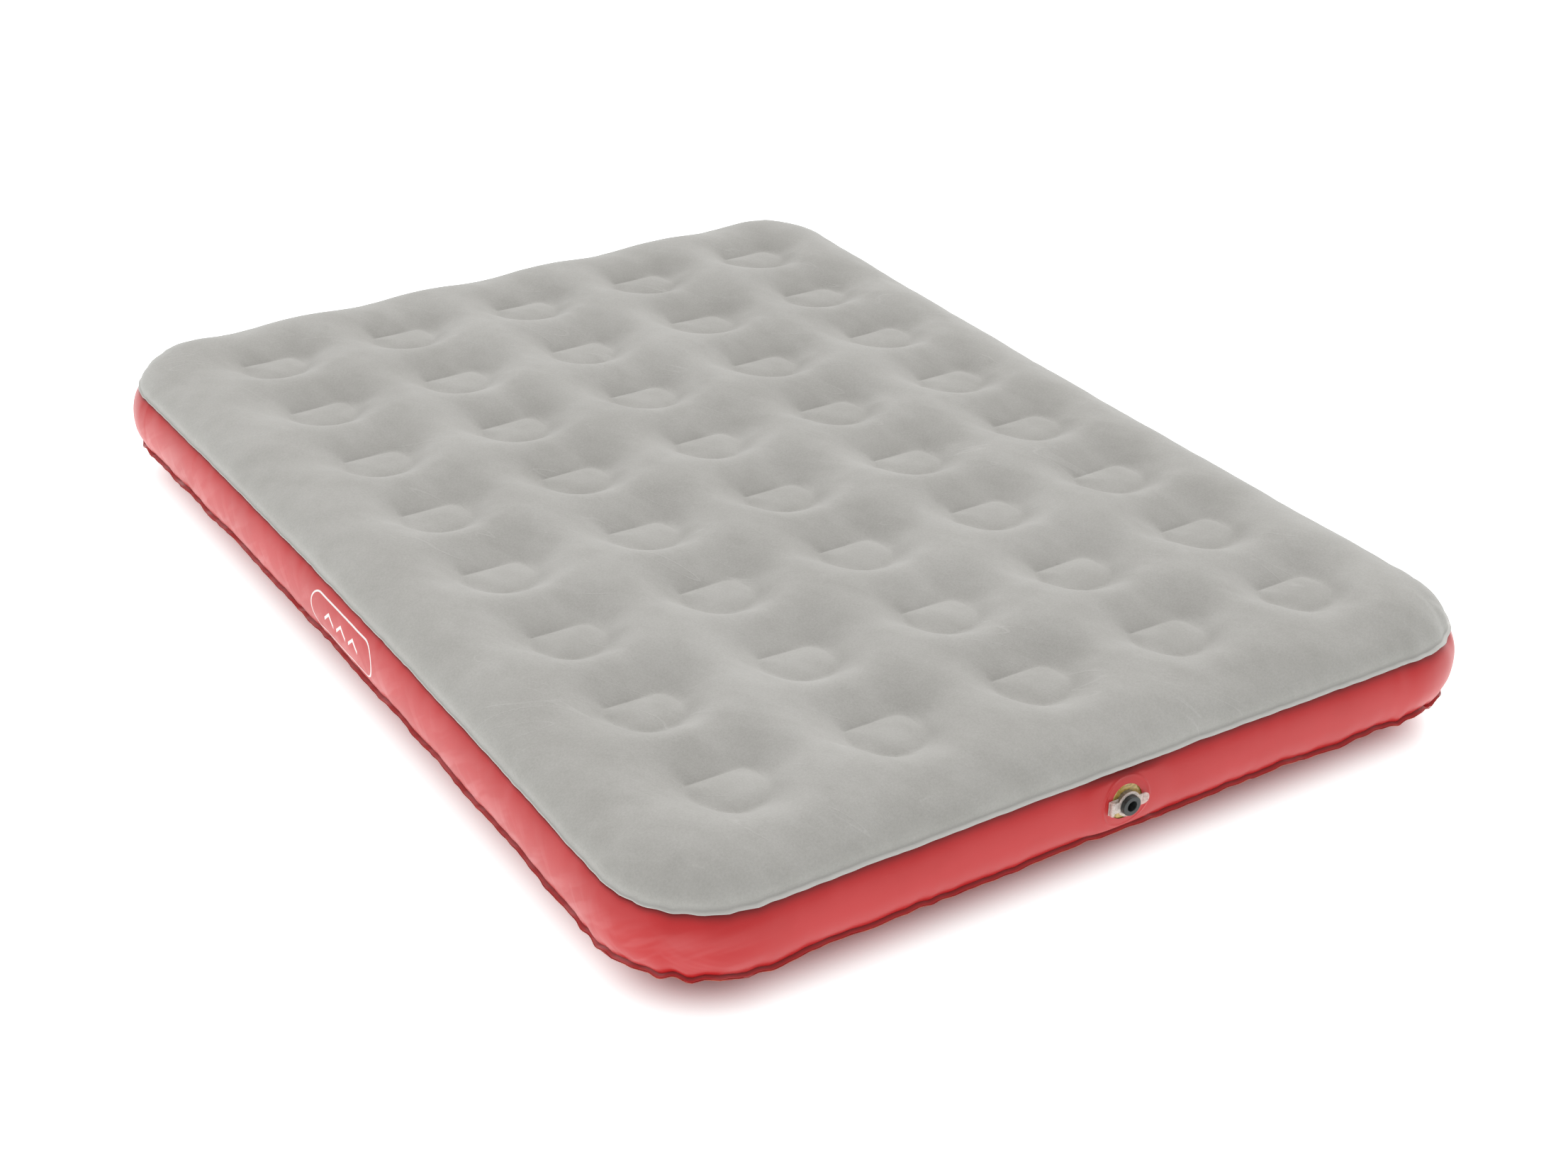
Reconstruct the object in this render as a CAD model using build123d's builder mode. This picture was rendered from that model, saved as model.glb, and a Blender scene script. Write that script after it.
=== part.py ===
from build123d import *

import os

os.makedirs("parts", exist_ok=True)

# A double air mattress. The origin is on the floor under the middle of the bed:
# X runs across it, +Y runs from the valve end (foot) to the head, and Z is up.

# ---- Driving dimensions, millimetres ------------------------------------------------
BED_WIDTH = 1377        # across the seam loop
BED_LENGTH = 1860       # along the seam loop
CORNER_RADIUS = 150
BED_HEIGHT = 216
SEAM_DROP = 59          # crown to top seam, and floor to bottom seam
SHEET = 1.8             # thickness of every sheet
SEAM_FLANGE = 8         # weld flange that stands out of the seam loop
BODY_GAP = 0.3          # air between pieces that move apart

ROLL_INSET = 110        # how far in the rounded edge reaches the level crown

COLUMNS, ROWS = 5, 8    # tie tubes across and along the bed
COLUMN_PITCH = 239.3
ROW_PITCH = 210.1
DIMPLE_DEPTH = 32
DIMPLE_FLOOR_RADIUS = 52
DIMPLE_MOUTH_RADIUS = 84
TUBE_RADIUS = 50
TUBE_WALL = 1.0
TUBE_FLAT = 28          # the tube's flat side, towards the head, from the tube's centre

WALL_BULGE = 11.8       # how far the side wall swells out past the seam loop

VALVE_X = 10            # valve's axis, from the middle of the foot wall
VALVE_RISE = 2          # valve's axis, above half height
WINDOW_RADIUS = 26      # hole in the side wall that shows the clear disc
DISC_RADIUS = 36
DISC_THICKNESS = 1.4
NECK_RADIUS = 17
NECK_OUT = 4.0          # neck's rim, outwards from the wall's face
NECK_IN = 12.0          # neck's inner end, inwards from the wall's face
BORE_RADIUS = 10.5
MOUTH_RADIUS = 14.2
MOUTH_DEPTH = 9.0
PLUG_CLEARANCE = 0.45
PLUG_LENGTH = 8.5
KNOB_RADIUS = 14.25
KNOB_TOP = 12.5
SOCKET_RADIUS = 7.5
SOCKET_DEPTH = 13.0
RING_RADIUS = 18.5
STRAP_THICKNESS = 1.8
LUG_STAND = 0.4         # the lug's back, outwards from the wall's face
LUG_THICKNESS = 1.2
LUG_LAP = 4             # how much longer the lug is than the gap it bridges
TAB_REACH = 34
TAB_WIDTH = 17
HINGE_X = -27           # hinge bar, from the valve's axis
HINGE_OUT = 5.2         # hinge bar, outwards from the wall's face
BAR_RADIUS = 1.6
CURL_CLEARANCE = 0.08
CURL_THICKNESS = 1.3
CURL_WIDTH = 16
EAR_THICKNESS = 2.2
EAR_MARGIN = 0.7        # ear material round the hinge bar
KNOB_EDGE = 0.8         # rounding of the knob's front edges
FLAP_RADIUS = 13
FLAP_THICKNESS = 1.0
FLAP_HINGE_X = -15
FLAP_EAR_WIDTH = 8

# ---- Places that follow from them ---------------------------------------------------
HALF_WIDTH, HALF_LENGTH = BED_WIDTH / 2, BED_LENGTH / 2
TOP_SEAM = BED_HEIGHT - SEAM_DROP
BOTTOM_SEAM = SEAM_DROP
MIDDLE = BED_HEIGHT / 2
DIMPLE_FLOOR = BED_HEIGHT - DIMPLE_DEPTH

# The valve's own plane: X across the bed, Y up, Z straight out of the foot wall.
valve_plane = Plane(
    origin=(VALVE_X, -(HALF_LENGTH + WALL_BULGE), MIDDLE + VALVE_RISE), x_dir=(1, 0, 0), z_dir=(0, -1, 0)
)
valve_axis = Axis(valve_plane.origin, valve_plane.z_dir)
# A level plane through the valve's axis: X across the bed, Y outwards.
valve_level = Plane(origin=valve_plane.origin, x_dir=(1, 0, 0), z_dir=(0, 0, -1))


def finish(name, part):
    """Label a finished piece and write it as its own STEP file."""
    part.label = name
    export_step(part, f"parts/{name}.step")


def seam_loop(height):
    """The rounded rectangle that every seam follows, at a height."""
    with BuildSketch(Plane.XY.offset(height)) as loop:
        RectangleRounded(BED_WIDTH, BED_LENGTH, CORNER_RADIUS)
    return loop.face().outer_wire()


def side_section(height):
    """A plane across the middle of the +X side: X outwards from the seam, Y up."""
    return Plane(origin=(HALF_WIDTH, 0, height), x_dir=(1, 0, 0), z_dir=(0, -1, 0))


# ---- Dimple bowl: one dimple of the top sheet, about its own axis --------------------
with BuildPart() as bowl:
    with BuildSketch(Plane.XZ) as bowl_section:
        with BuildLine():
            upper = TangentArc(
                (DIMPLE_MOUTH_RADIUS, BED_HEIGHT), (DIMPLE_FLOOR_RADIUS, DIMPLE_FLOOR),
                tangent=(-1, 0),
            )
            Line(upper @ 1, (0, DIMPLE_FLOOR))
            Line((0, DIMPLE_FLOOR), (0, DIMPLE_FLOOR - SHEET))
            lower = TangentArc(
                (DIMPLE_MOUTH_RADIUS, BED_HEIGHT - SHEET),
                (DIMPLE_FLOOR_RADIUS + SHEET, DIMPLE_FLOOR - SHEET), tangent=(-1, 0),
            )
            Line(lower @ 1, (0, DIMPLE_FLOOR - SHEET))
            Line(lower @ 0, upper @ 0)
        make_face()
    revolve(axis=Axis.Z)

# ---- Top sheet: flocked, with a rounded edge and one dimple over each tube -----------
with BuildPart() as top_sheet:
    with BuildSketch(side_section(TOP_SEAM)) as edge_roll:
        with BuildLine():
            outer = TangentArc((-ROLL_INSET, SEAM_DROP), (0, SHEET), tangent=(1, 0))
            flange = Polyline(outer @ 1, (SEAM_FLANGE, SHEET), (SEAM_FLANGE, 0), (-SHEET, 0))
            inner = TangentArc((-ROLL_INSET, SEAM_DROP - SHEET), flange @ 1, tangent=(1, 0))
            Line(inner @ 0, outer @ 0)
        make_face()
    sweep(path=seam_loop(TOP_SEAM))
    with BuildSketch(Plane.XY.offset(BED_HEIGHT)) as crown:
        RectangleRounded(
            BED_WIDTH - 2 * ROLL_INSET, BED_LENGTH - 2 * ROLL_INSET, CORNER_RADIUS - ROLL_INSET
        )
        with GridLocations(COLUMN_PITCH, ROW_PITCH, COLUMNS, ROWS):
            Circle(DIMPLE_MOUTH_RADIUS, mode=Mode.SUBTRACT)
    extrude(amount=-SHEET)
    with GridLocations(COLUMN_PITCH, ROW_PITCH, COLUMNS, ROWS):
        add(bowl.part)
finish("top_sheet", top_sheet.part)

# ---- Bottom sheet: the same shape upside down ----------------------------------------
with BuildPart() as bottom_sheet:
    mirror(top_sheet.part, about=Plane.XY.offset(MIDDLE))
finish("bottom_sheet", bottom_sheet.part)

# ---- Side wall: one swelling band with a weld flange at each seam --------------------
wall_top = TOP_SEAM - BODY_GAP
wall_inside = WALL_BULGE - SHEET
with BuildPart() as side_wall:
    with BuildSketch(side_section(0)) as wall_section:
        with BuildLine():
            Polyline(
                (0, wall_top), (SEAM_FLANGE, wall_top), (SEAM_FLANGE, wall_top - SHEET),
                (SHEET, wall_top - SHEET),
            )
            ThreePointArc(
                (SHEET, wall_top - SHEET), (WALL_BULGE, MIDDLE), (SHEET, BOTTOM_SEAM + SHEET)
            )
            Polyline(
                (SHEET, BOTTOM_SEAM + SHEET), (SEAM_FLANGE, BOTTOM_SEAM + SHEET),
                (SEAM_FLANGE, BOTTOM_SEAM), (0, BOTTOM_SEAM),
            )
            ThreePointArc((0, BOTTOM_SEAM), (wall_inside, MIDDLE), (0, wall_top))
        make_face()
    sweep(path=seam_loop(0))
    with BuildSketch(valve_plane.offset(2 * WALL_BULGE)) as window:
        Circle(WINDOW_RADIUS)
    extrude(amount=-4 * WALL_BULGE, mode=Mode.SUBTRACT)
finish("side_wall", side_wall.part)


# ---- Tie tubes: D-section sleeves that hold the two sheets together ------------------
def tie_tube(x, y):
    """One open-ended tube with a flat side towards the head."""
    with BuildPart() as tube:
        with BuildSketch(Plane.XY.offset(DIMPLE_DEPTH + SHEET)) as section:
            with Locations((x, y)):
                Circle(TUBE_RADIUS)
            with Locations((x, y + TUBE_FLAT)):
                Rectangle(
                    2 * TUBE_RADIUS, TUBE_RADIUS, align=(Align.CENTER, Align.MIN),
                    mode=Mode.SUBTRACT,
                )
            offset(amount=-TUBE_WALL, mode=Mode.SUBTRACT)
        extrude(amount=DIMPLE_FLOOR - DIMPLE_DEPTH - 2 * SHEET - BODY_GAP)
    return tube.part


# Rows are lettered from the foot to the head, columns numbered along +X.
for row in range(ROWS):
    for column in range(COLUMNS):
        tube_x = (column - (COLUMNS - 1) / 2) * COLUMN_PITCH
        tube_y = (row - (ROWS - 1) / 2) * ROW_PITCH
        finish(f"tie_tube_{'abcdefgh'[row]}{column + 1}", tie_tube(tube_x, tube_y))

# ---- Valve disc: clear vinyl, welded behind the wall and curved as the wall is -------
# A plane at the disc's left edge: X outwards from the seam, Y down.
disc_edge = Plane(
    origin=(VALVE_X - DISC_RADIUS, -HALF_LENGTH, 0), x_dir=(0, -1, 0), z_dir=(1, 0, 0)
)
with BuildPart() as valve_disc:
    with BuildSketch(disc_edge) as disc_section:
        with BuildLine():
            front = ThreePointArc((0, -BOTTOM_SEAM), (wall_inside, -MIDDLE), (0, -wall_top))
            back = ThreePointArc(
                (-DISC_THICKNESS, -wall_top), (wall_inside - DISC_THICKNESS, -MIDDLE),
                (-DISC_THICKNESS, -BOTTOM_SEAM),
            )
            Line(front @ 1, back @ 0)
            Line(back @ 1, front @ 0)
        make_face()
    extrude(amount=2 * DISC_RADIUS)
    with BuildSketch(valve_plane.offset(2 * WALL_BULGE)) as disc_outline:
        Circle(DISC_RADIUS)
        Circle(NECK_RADIUS + BODY_GAP, mode=Mode.SUBTRACT)
    extrude(amount=-4 * WALL_BULGE, mode=Mode.INTERSECT)
finish("valve_disc", valve_disc.part)

# ---- Valve neck: the collar that the plug pushes into --------------------------------
with BuildPart() as valve_neck:
    with BuildSketch(valve_level) as neck_section:
        with BuildLine():
            Polyline(
                (BORE_RADIUS, -NECK_IN), (NECK_RADIUS, -NECK_IN), (NECK_RADIUS, NECK_OUT),
                (MOUTH_RADIUS, NECK_OUT), (BORE_RADIUS, NECK_OUT - MOUTH_DEPTH), close=True,
            )
        make_face()
    revolve(axis=valve_axis)
finish("valve_neck", valve_neck.part)

# ---- Strap anchor: a clear lug on the neck that carries the hinge bar ----------------
anchor_half = CURL_WIDTH / 2 + BODY_GAP + EAR_THICKNESS
with BuildPart() as strap_anchor:
    with BuildSketch(valve_plane.offset(LUG_STAND)) as lug:
        with Locations(((HINGE_X - BAR_RADIUS - NECK_RADIUS) / 2, 0)):
            Rectangle(-HINGE_X + BAR_RADIUS - NECK_RADIUS + LUG_LAP, 2 * anchor_half)
        Circle(NECK_RADIUS, mode=Mode.SUBTRACT)
    extrude(amount=LUG_THICKNESS)
    for side in (-1, 1):
        middle = side * (anchor_half - EAR_THICKNESS / 2)
        with BuildSketch(valve_level.offset(-middle - EAR_THICKNESS / 2)) as ear:
            with Locations((HINGE_X, (HINGE_OUT + LUG_STAND) / 2)):
                Rectangle(2 * (BAR_RADIUS + EAR_MARGIN), HINGE_OUT - LUG_STAND)
            with Locations((HINGE_X, HINGE_OUT)):
                Circle(BAR_RADIUS + EAR_MARGIN)
        extrude(amount=EAR_THICKNESS)
    with BuildSketch(valve_level.offset(-anchor_half)) as bar:
        with Locations((HINGE_X, HINGE_OUT)):
            Circle(BAR_RADIUS)
    extrude(amount=2 * anchor_half)
finish("strap_anchor", strap_anchor.part)

# ---- Cap strap: the clear ring round the plug, its hinge curl and its pull tab -------
ring_level = NECK_OUT + BODY_GAP
curl_inner = BAR_RADIUS + CURL_CLEARANCE
curl_outer = curl_inner + CURL_THICKNESS
tab_end = TAB_REACH - TAB_WIDTH / 2     # centre of the tab's round end
with BuildPart() as cap_strap:
    with BuildSketch(valve_plane.offset(ring_level)) as ring:
        Circle(RING_RADIUS)
        with Locations(((HINGE_X + curl_inner) / 2, 0)):
            Rectangle(-HINGE_X - curl_inner, CURL_WIDTH)
        with Locations((tab_end / 2, 0)):
            Rectangle(tab_end, TAB_WIDTH)
        with Locations((tab_end, 0)):
            Circle(TAB_WIDTH / 2)
        Circle(KNOB_RADIUS, mode=Mode.SUBTRACT)
    extrude(amount=STRAP_THICKNESS)
    with BuildSketch(valve_level.offset(-CURL_WIDTH / 2)) as curl:
        with Locations((HINGE_X, HINGE_OUT)):
            Circle(curl_outer)
            Circle(curl_inner, mode=Mode.SUBTRACT)
    extrude(amount=CURL_WIDTH)
finish("cap_strap", cap_strap.part)

# ---- Cap plug: a black stopper with a tapered nose and a hollow middle ---------------
nose_end = NECK_OUT - PLUG_LENGTH
taper = (MOUTH_RADIUS - BORE_RADIUS) / MOUTH_DEPTH
nose_root_radius = MOUTH_RADIUS - PLUG_CLEARANCE
nose_end_radius = nose_root_radius - taper * PLUG_LENGTH
with BuildPart() as cap_plug:
    with BuildSketch(valve_level) as plug_section:
        with BuildLine():
            Polyline(
                (0, nose_end), (nose_end_radius, nose_end), (nose_root_radius, NECK_OUT),
                (nose_root_radius, ring_level), (KNOB_RADIUS, ring_level),
                (KNOB_RADIUS, KNOB_TOP), (SOCKET_RADIUS, KNOB_TOP),
                (SOCKET_RADIUS, KNOB_TOP - SOCKET_DEPTH), (0, KNOB_TOP - SOCKET_DEPTH),
                close=True,
            )
        make_face()
    revolve(axis=valve_axis)
    rim = cap_plug.edges().filter_by(GeomType.CIRCLE).sort_by(valve_axis)[-2:]
    fillet(rim, radius=KNOB_EDGE)
finish("cap_plug", cap_plug.part)

# ---- Check flap: the diaphragm that shuts the neck's inner end -----------------------
with BuildPart() as check_flap:
    with BuildSketch(valve_plane.offset(-NECK_IN - BODY_GAP)) as flap:
        Circle(FLAP_RADIUS)
        with Locations((FLAP_HINGE_X / 2, 0)):
            Rectangle(-FLAP_HINGE_X, FLAP_EAR_WIDTH)
    extrude(amount=-FLAP_THICKNESS)
finish("check_flap", check_flap.part)
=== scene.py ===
# %% [markdown]
# An inflated double bed: a grey flocked top, a red vinyl wall, a red base, and a clear valve at the
# foot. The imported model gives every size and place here, so this script only has to make the pieces
# look right. Soft skins are built as meshes by rule, what repeats is made with Geometry Nodes, and the
# small moulded valve pieces are softened copies of the engineering model.

# %% Load the frame
import math

import bmesh
import bpy
import numpy as np
from mathutils import Matrix, Vector


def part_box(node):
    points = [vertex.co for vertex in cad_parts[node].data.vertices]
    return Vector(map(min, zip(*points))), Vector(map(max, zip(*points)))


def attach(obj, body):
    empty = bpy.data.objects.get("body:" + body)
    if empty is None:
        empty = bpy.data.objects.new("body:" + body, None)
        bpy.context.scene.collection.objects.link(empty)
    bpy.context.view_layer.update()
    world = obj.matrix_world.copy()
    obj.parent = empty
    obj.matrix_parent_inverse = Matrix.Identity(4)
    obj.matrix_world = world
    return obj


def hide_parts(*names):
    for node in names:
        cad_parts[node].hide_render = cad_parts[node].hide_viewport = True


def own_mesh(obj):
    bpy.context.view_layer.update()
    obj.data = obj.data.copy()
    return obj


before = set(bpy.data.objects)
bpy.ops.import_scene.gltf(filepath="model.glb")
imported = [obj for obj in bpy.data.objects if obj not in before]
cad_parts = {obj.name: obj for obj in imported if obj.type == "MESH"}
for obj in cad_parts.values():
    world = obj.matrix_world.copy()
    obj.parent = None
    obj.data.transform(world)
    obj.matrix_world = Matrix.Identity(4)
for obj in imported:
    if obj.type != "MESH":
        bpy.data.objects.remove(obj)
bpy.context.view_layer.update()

MM = 0.001


def put(name, data):
    """A new object in the scene that carries some data."""
    thing = bpy.data.objects.new(name, data)
    bpy.context.scene.collection.objects.link(thing)
    return thing


# %% [markdown]
# Every size of the soft skins follows from a few boxes of the frame: the top sheet gives the crown and
# the upper seam, the bottom sheet gives the lower seam, and the tie tubes give the dimples' grid.
# Reading them here, and not typing them again, keeps the looks in step with the model if the model
# changes.

# %% Sizes from the frame
top_low, top_high = (Vector(corner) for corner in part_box("top_sheet"))
base_low, base_high = (Vector(corner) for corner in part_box("bottom_sheet"))
tube_nodes = sorted(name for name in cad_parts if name.startswith("tie_tube_"))
tube_boxes = {name: [Vector(corner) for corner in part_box(name)] for name in tube_nodes}

CROWN = top_high.z
TOP_SEAM = top_low.z
BOTTOM_SEAM = base_high.z
SHEET = 1.8 * MM         # thickness of the engineering model's sheets
SHEET_LIFT = 1.5 * MM    # from a seam's plane to the sheet welded on it
SEAM_DROP = CROWN - TOP_SEAM - SHEET_LIFT
LIP = 8 * MM
HALF_X = top_high.x - LIP
HALF_Y = top_high.y - LIP
CORNER = 150 * MM
BOW_X = 15 * MM          # how far the long seams bow inwards at their middles
BOW_Y = 5 * MM

first_low, first_high = tube_boxes[tube_nodes[0]]
TUBE_RADIUS = (first_high.x - first_low.x) / 2
TUBE_FLAT = first_high.y - first_low.y - TUBE_RADIUS
tube_centres = sorted(
    {((low.x + high.x) / 2, low.y + TUBE_RADIUS) for low, high in tube_boxes.values()}
)
columns = sorted({round(x, 5) for x, y in tube_centres})
rows = sorted({round(y, 5) for x, y in tube_centres})
DIMPLE_DEPTH = base_low.z + first_low.z - SHEET
print("crown", round(CROWN, 4), "seams", round(TOP_SEAM, 4), round(BOTTOM_SEAM, 4))
print(len(columns), "columns by", len(rows), "rows of tie tubes, dimples", round(DIMPLE_DEPTH, 4), "deep")

# %% [markdown]
# The camera is made first. It stands at the foot, to
# the left of the bed, and looks down at about thirty degrees. A camera's own axes are right, up and
# backwards, so its matrix is written from the direction it looks in, turned by a small roll.

# %% Camera
CAMERA_PLACE = Vector((-1.792, -2.8736, 1.8979))
CAMERA_AZIMUTH, CAMERA_DOWN, CAMERA_ROLL = (math.radians(a) for a in (33.181, 29.581, 1.089))
CAMERA_LENS = 55.49


def aim(azimuth, down, roll, place):
    """A camera matrix that looks towards an azimuth from +Y, turned down and rolled."""
    ahead = Vector((math.sin(azimuth) * math.cos(down), math.cos(azimuth) * math.cos(down),
                    -math.sin(down)))
    right = ahead.cross(Vector((0, 0, 1))).normalized()
    up = right.cross(ahead)
    right, up = (math.cos(roll) * right + math.sin(roll) * up,
                 math.cos(roll) * up - math.sin(roll) * right)
    turn = Matrix((right, up, -ahead)).transposed()
    return Matrix.Translation(place) @ turn.to_4x4()


camera_data = bpy.data.cameras.new("camera")
camera_data.sensor_width, camera_data.lens = 36.0, CAMERA_LENS
camera = put("camera", camera_data)
camera.matrix_world = aim(CAMERA_AZIMUTH, CAMERA_DOWN, CAMERA_ROLL, CAMERA_PLACE)
bpy.context.scene.camera = camera
print("camera at", [round(v, 3) for v in CAMERA_PLACE], "lens", camera_data.lens)

# %% [markdown]
# The studio is a bright floor, a white sky and two soft lamps. The main light comes from behind the bed
# on its right, so the slope of each dimple that faces the foot is darker than its floor, and the outer
# slope of its round side catches the light. It is a sun lamp with a wide angle: its light is as soft as
# a big window's, and as strong at the foot as at the head.

# %% Studio
def new_lamp(name, kind, place, target, power, **settings):
    """A lamp that points from its place at a target."""
    data = bpy.data.lights.new(name, kind)
    data.energy = power
    for label, setting in settings.items():
        setattr(data, label, setting)
    lamp = put(name, data)
    lamp.location = place
    lamp.rotation_euler = (Vector(target) - Vector(place)).to_track_quat("-Z", "Y").to_euler()


SKY = 0.655
new_lamp("key_lamp", "SUN", (2.6, 2.7, 3.4), (0, 0, 0), 1.62, angle=math.radians(38))
new_lamp("fill_lamp", "AREA", (-3.0, 0.0, 0.6), (0, 0.1, 0.1), 10,
         shape="RECTANGLE", size=2.6, size_y=0.8)
world = bpy.data.worlds.new("studio")
world.use_nodes = True
sky = world.node_tree.nodes["Background"].inputs
sky["Color"].default_value, sky["Strength"].default_value = (1, 1, 1, 1), SKY
bpy.context.scene.world = world
bpy.context.scene.view_settings.view_transform = "Standard"
print("two lamps and a white sky")

# %% [markdown]
# A node tree is easier to read as a sum than as a list of links. `Value` wraps one socket and overloads
# the arithmetic signs, so `1 - mask * 0.3` adds its own Math nodes. `Tree.add` makes any other node
# from its type, its settings and the values or links of its sockets. Both work in shader and in
# geometry trees.

# %% Node helpers
class Value:
    """A number socket that takes part in Python arithmetic."""

    def __init__(self, tree, socket):
        self.tree, self.socket = tree, socket

    def math(self, operation, *others, clamp=False):
        node = self.tree.add("ShaderNodeMath", {"operation": operation, "use_clamp": clamp})
        for slot, item in enumerate((self, *others)):
            self.tree.feed(node.inputs[slot], item)
        return Value(self.tree, node.outputs[0])

    def __add__(self, other): return self.math("ADD", other)
    def __radd__(self, other): return self.math("ADD", other)
    def __sub__(self, other): return self.math("SUBTRACT", other)
    def __mul__(self, other): return self.math("MULTIPLY", other)
    def __rmul__(self, other): return self.math("MULTIPLY", other)
    def __neg__(self): return self.math("MULTIPLY", -1.0)
    def __abs__(self): return self.math("ABSOLUTE")
    def __rsub__(self, other): return (-self).math("ADD", other)

    def ramp(self, low, high):
        """0 below low and 1 above high, smooth between them."""
        node = self.tree.add(
            "ShaderNodeMapRange", {"interpolation_type": "SMOOTHSTEP"},
            {"Value": self, "From Min": low, "From Max": high},
        )
        return Value(self.tree, node.outputs["Result"])

    def most(self, other): return self.math("MAXIMUM", other)


class Tree:
    """A node tree whose nodes are made by one method."""

    def __init__(self, node_tree):
        self.node_tree = node_tree

    def feed(self, socket, item):
        """Link a socket or set its value."""
        if isinstance(item, Value):
            self.node_tree.links.new(item.socket, socket)
        elif isinstance(item, bpy.types.NodeSocket):
            self.node_tree.links.new(item, socket)
        else:
            socket.default_value = item

    def add(self, kind, settings=None, sockets=None):
        node = self.node_tree.nodes.new(kind)
        for name, setting in (settings or {}).items():
            setattr(node, name, setting)
        for name, item in (sockets or {}).items():
            self.feed(node.inputs[name], item)
        return node

    def value(self, kind, output, settings=None, sockets=None):
        return Value(self, self.add(kind, settings, sockets).outputs[output])

    def mix(self, amount, first, second):
        """A colour between two colours."""
        node = self.add("ShaderNodeMix", {"data_type": "RGBA"})
        for slot, item in ((0, amount), (6, first), (7, second)):
            self.feed(node.inputs[slot], item)
        return node.outputs[2]


def new_material(name, colour, roughness, **uniform):
    """A material, its tree, a function that feeds its shader's sockets, and the Object coordinates."""
    material = bpy.data.materials.new(name)
    material.use_nodes = True
    material.diffuse_color = (*colour, 1)
    tree = Tree(material.node_tree)
    shader = material.node_tree.nodes["Principled BSDF"]

    def paint(**sockets):
        for label, item in sockets.items():
            tree.feed(shader.inputs[label.replace("_", " ").title().replace("Ior", "IOR")], item)

    paint(base_color=(*colour, 1), roughness=roughness, **uniform)
    place = tree.add("ShaderNodeTexCoord").outputs["Object"]
    return material, tree, paint, place


def noise(tree, place, scale, detail=3.0, roughness=0.5, distortion=0.0):
    """Fractal noise about 0.5 at so many features to the metre."""
    return tree.value(
        "ShaderNodeTexNoise", "Fac", {},
        {"Vector": place, "Scale": scale, "Detail": detail, "Roughness": roughness,
         "Distortion": distortion},
    )


def stretched(tree, place, scale, turn=(0, 0, 0)):
    """The place, turned and then scaled, for a pattern that runs one way."""
    return tree.add(
        "ShaderNodeMapping", {"vector_type": "TEXTURE"},
        {"Vector": place, "Scale": tuple(1 / size for size in scale), "Rotation": turn},
    ).outputs[0]


def axes(tree, place):
    """The x, y and z of a place."""
    split = tree.add("ShaderNodeSeparateXYZ", {}, {"Vector": place})
    return [Value(tree, socket) for socket in split.outputs]


def attribute(tree, name):
    """A number that the mesh carries at its points."""
    return tree.value("ShaderNodeAttribute", "Fac", {"attribute_name": name})


def bump(tree, height, depth, strength=1.0):
    """The normal of a surface raised by a height pattern, so many metres for 1."""
    return tree.add("ShaderNodeBump", {}, {
        "Height": height, "Distance": depth, "Strength": strength}).outputs["Normal"]


print("node helpers ready")

# %% [markdown]
# The top sheet is vinyl with a short grey flock blown onto it. Flock scatters light softly, shows a
# fine speckle where single fibres catch it, and turns lighter or darker in broad patches and slanting
# sweeps where a hand has brushed the pile. Thin pale creases are left where the bed was folded. The
# welded lip round the edge is pressed flat, so it is lighter and smoother; the mesh marks it with an
# attribute.

# %% Flock
FLOCK_DARK, FLOCK_LIGHT = (0.375, 0.365, 0.340, 1), (0.520, 0.510, 0.485, 1)
FLOCK_CREASE_SHADE, LIP_GREY = (0.38, 0.37, 0.345, 1), (0.60, 0.59, 0.56, 1)


def flock_material():
    material, tree, paint, place = new_material(
        "grey_flock", (0.47, 0.465, 0.44), 0.92, sheen_weight=0.25, sheen_roughness=0.45,
    )
    brushed = noise(tree, stretched(tree, place, (1.0, 0.55, 1.0)), 5.0, 4.0, 0.6, 0.4)
    patches = noise(tree, place, 26.0, 3.0).ramp(0.3, 0.7)
    sweep = noise(tree, stretched(tree, place, (34.0, 6.0, 1.0), (0, 0, 0.6)), 1.0, 3.0, 0.6, 0.5)
    fibres = noise(tree, place, 900.0, 2.0, 0.7)
    speckle = noise(tree, place, 330.0, 2.0, 0.6)
    scuff = 0.0
    for turn, scale, where in ((0.55, (14.0, 1.6, 1.0), 0.0), (-0.65, (1.8, 13.0, 1.0), 3.0)):
        hair = noise(tree, stretched(tree, place, scale, (0, 0, turn)), 1.4, 1.0, 0.4)
        lines = 1 - abs(hair - 0.5).ramp(0.0015, 0.0045)
        spot = noise(tree, stretched(tree, place, (1, 1, 1), (0, 0, where)), 6.0, 2.0).ramp(0.50, 0.62)
        scuff = lines * spot + scuff
    lip = attribute(tree, "lip")
    valley = attribute(tree, "valley")
    broad = brushed.ramp(0.35, 0.65) * 0.27 + patches * 0.14 + sweep * 0.40
    tone = broad + speckle * 0.80 + fibres * 0.60 + scuff * 0.22 - 0.67
    pile = tree.mix(tone.math("ADD", 0.0, clamp=True), FLOCK_DARK, FLOCK_LIGHT)
    # Beside each weld the pile is drawn towards a slightly darker grey: painted shade in the dimple's
    # crease.
    crease_shaded = tree.mix(valley * 0.12, pile, FLOCK_CREASE_SHADE)
    paint(base_color=tree.mix(lip, crease_shaded, LIP_GREY))
    paint(roughness=0.95 - lip * 0.35)
    paint(normal=bump(tree, fibres * 0.5 + speckle * 0.5 + scuff * 0.5, 0.0006, 0.6))
    return material


FLOCK = flock_material()
print("made", FLOCK.name)
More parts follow.
